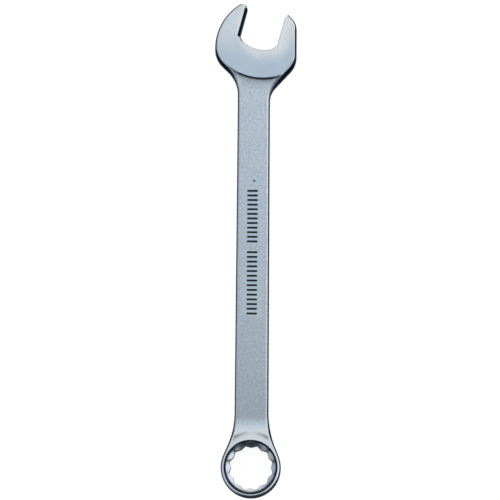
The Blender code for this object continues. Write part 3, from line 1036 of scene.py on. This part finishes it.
def make_floor():
    shape = bmesh.new()
    bmesh.ops.create_grid(shape, x_segments=1, y_segments=1, size=FLOOR_HALF_SIZE)
    mesh = bpy.data.meshes.new("floor")
    shape.to_mesh(mesh)
    shape.free()
    floor = bpy.data.objects.new("floor", mesh)
    bpy.context.scene.collection.objects.link(floor)
    material = bpy.data.materials.new("floor_paper")
    material.use_nodes = True
    shader = material.node_tree.nodes["Principled BSDF"]
    shader.inputs["Base Color"].default_value = FLOOR_COLOUR
    shader.inputs["Roughness"].default_value = FLOOR_ROUGHNESS
    shader.inputs["Specular IOR Level"].default_value = 0.0
    shader.inputs["Emission Color"].default_value = (1.0, 1.0, 1.0, 1.0)
    shader.inputs["Emission Strength"].default_value = FLOOR_GLOW
    mesh.materials.append(material)
    floor.visible_glossy = False


def make_world():
    """A light tent that is bright beyond the open end and dark behind the ring and low down.

    Its gradients are for the steel. Everything else is lit by an even white.
    """
    world = bpy.data.worlds.new("studio")
    bpy.context.scene.world = world
    world.use_nodes = True
    world.cycles.sampling_method = "NONE"
    tree = Nodes(world.node_tree)
    place = tree.nodes.new("ShaderNodeTexCoord")
    split = tree.nodes.new("ShaderNodeSeparateXYZ")
    tree.put(place.outputs["Generated"], split.inputs[0])
    x, y, z = split.outputs
    aside = tree.math("ABSOLUTE", x)
    overhead = tree.ramp(y, OVERHEAD_BY_Y)
    past_ring = tree.math("MULTIPLY_ADD", x, SIDE_PAST_RING_LEAN, y)
    at_side = tree.smooth(aside, *SIDE_FROM_X)
    at_side = tree.math("MULTIPLY", at_side, tree.smooth(past_ring, *SIDE_PAST_RING))
    side = tree.mix(tree.smooth(x, *SIDE_CHANGE_X), LEFT_LIGHT, RIGHT_LIGHT)
    upper = tree.mix(at_side, overhead, side)
    behind = tree.smooth(y, *LOW_BEHIND_Y)
    low_behind = tree.math("MULTIPLY", tree.smooth(z, *LOW_BEHIND_Z), behind)
    at_corner = tree.smooth(aside, *LOW_BEHIND_X)
    at_corner = tree.math("MULTIPLY_ADD", at_corner, 1.0 - LOW_BEHIND_MIDDLE, LOW_BEHIND_MIDDLE)
    low_behind = tree.math("MULTIPLY", low_behind, at_corner)
    upper = tree.mix(low_behind, upper, LOW_BEHIND_LIGHT)
    lower = tree.ramp(z, LOWER_BY_Z)
    level_side = tree.smooth(aside, *LEVEL_SIDE_X)
    level_side = tree.math("MULTIPLY", level_side, tree.smooth(z, *LEVEL_SIDE_Z))
    lower = tree.mix(level_side, lower, LEVEL_SIDE_LIGHT)
    seen_by_steel = tree.mix(tree.smooth(z, *UPPER_FROM_Z), lower, upper)
    path = tree.nodes.new("ShaderNodeLightPath")
    colour = tree.mix(path.outputs["Is Glossy Ray"], EVEN_LIGHT, seen_by_steel)
    tree.put(colour, tree.nodes["Background"].inputs["Color"])


def make_camera(origin):
    data = bpy.data.cameras.new("camera")
    camera = bpy.data.objects.new("camera", data)
    bpy.context.scene.collection.objects.link(camera)
    data.lens = CAMERA_LENS
    data.sensor_width = CAMERA_SENSOR
    data.clip_start, data.clip_end = CAMERA_CLIP
    turn = Matrix.Identity(4)
    for axis, degrees in CAMERA_TURNS:
        turn = turn @ Matrix.Rotation(math.radians(degrees), 4, axis)
    place = origin + Vector(CAMERA_PLACE) * MM
    camera.matrix_world = Matrix.Translation(place) @ turn
    bpy.context.scene.camera = camera


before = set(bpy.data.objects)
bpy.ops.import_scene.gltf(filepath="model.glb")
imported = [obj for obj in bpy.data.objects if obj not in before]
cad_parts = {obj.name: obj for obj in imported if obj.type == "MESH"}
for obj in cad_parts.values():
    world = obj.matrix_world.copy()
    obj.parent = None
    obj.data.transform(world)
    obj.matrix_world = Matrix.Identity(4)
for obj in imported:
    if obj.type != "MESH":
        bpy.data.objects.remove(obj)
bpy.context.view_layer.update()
shank_low, shank_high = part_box("shank")
origin = (shank_low + shank_high) / 2
origin.y = shank_low.y - BOX_SEAM_Y * MM

# Centre of the painted highlight on the head's face, at the mouth
mouth = origin + Vector((*HIGHLIGHT_CENTRE, HEAD_HALF_THICKNESS)) * MM
head_steel = steel("polished_head_steel", mouth)
shank_steel = steel("satin_steel")
ring_steel = steel("polished_ring_steel")
dress(make_open_end(origin), head_steel, "open_end")
dress(make_shank(origin), shank_steel, "shank")
dress(make_box_end(origin), ring_steel, "box_end")
make_floor()
make_world()
make_camera(origin)
bpy.context.scene.view_settings.view_transform = "Standard"
